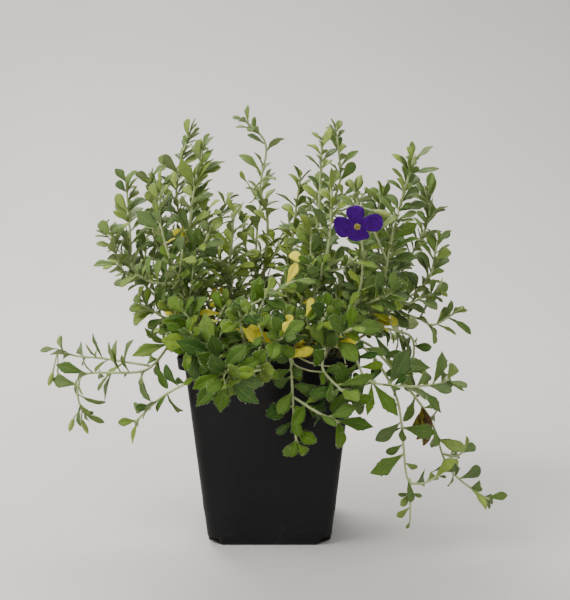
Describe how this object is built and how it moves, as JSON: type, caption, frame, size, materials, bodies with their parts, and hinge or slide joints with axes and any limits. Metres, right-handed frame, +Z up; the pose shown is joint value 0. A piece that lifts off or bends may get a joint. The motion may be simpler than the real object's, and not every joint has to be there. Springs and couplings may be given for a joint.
{
  "type": "potted plant",
  "caption": "Young aubrieta in a square black nursery pot: leafy shoots that stand and trail over the rim, and a violet flower with a yellow eye.",
  "frame": {"origin": "middle of the pot's underside", "axes": "+Z up along the pot's axis, -Y towards the side with the flower, +X to the viewer's right"},
  "size_m": [0.2437, 0.1686, 0.2236],
  "materials": {
    "pot_plastic": "satin moulded black plastic",
    "potting_soil": "moist crumbly peat soil with fibres",
    "foliage": "soft green leaves and stems with short pale hairs",
    "petal": "velvety deep violet petals",
    "eye": "matte yellow-green"
  },
  "bodies": {
    "root": {"pot": "pot_plastic", "soil": "potting_soil", "flower_petals": "petal", "flower_eye": "eye", "back_shoot_1": "foliage", "back_shoot_2": "foliage", "back_shoot_3": "foliage", "back_shoot_4": "foliage", "back_shoot_5": "foliage", "back_shoot_6": "foliage", "back_shoot_7": "foliage", "back_shoot_8": "foliage", "flowering_shoot": "foliage", "front_shoot_1": "foliage", "front_shoot_2": "foliage", "front_shoot_3": "foliage", "front_shoot_4": "foliage", "front_shoot_5": "foliage", "front_shoot_6": "foliage", "hanging_shoot_1": "foliage", "left_shoot_1": "foliage", "left_shoot_2": "foliage", "left_shoot_3": "foliage", "left_shoot_4": "foliage", "left_shoot_5": "foliage", "left_shoot_6": "foliage", "left_shoot_7": "foliage", "left_shoot_8": "foliage", "left_shoot_9": "foliage", "middle_shoot_1": "foliage", "middle_shoot_2": "foliage", "middle_shoot_3": "foliage", "middle_shoot_4": "foliage", "middle_shoot_5": "foliage", "middle_shoot_6": "foliage", "middle_shoot_7": "foliage", "middle_shoot_8": "foliage", "right_shoot_1": "foliage", "right_shoot_2": "foliage", "right_shoot_3": "foliage", "right_shoot_4": "foliage", "right_shoot_5": "foliage", "right_shoot_6": "foliage", "right_shoot_7": "foliage", "right_shoot_8": "foliage", "rosette_shoot_1": "foliage", "rosette_shoot_2": "foliage", "rosette_shoot_3": "foliage", "trailing_left_1": "foliage", "trailing_left_2": "foliage", "trailing_right_1": "foliage", "trailing_right_2": "foliage", "trailing_right_3": "foliage"}
  },
  "joints": []
}
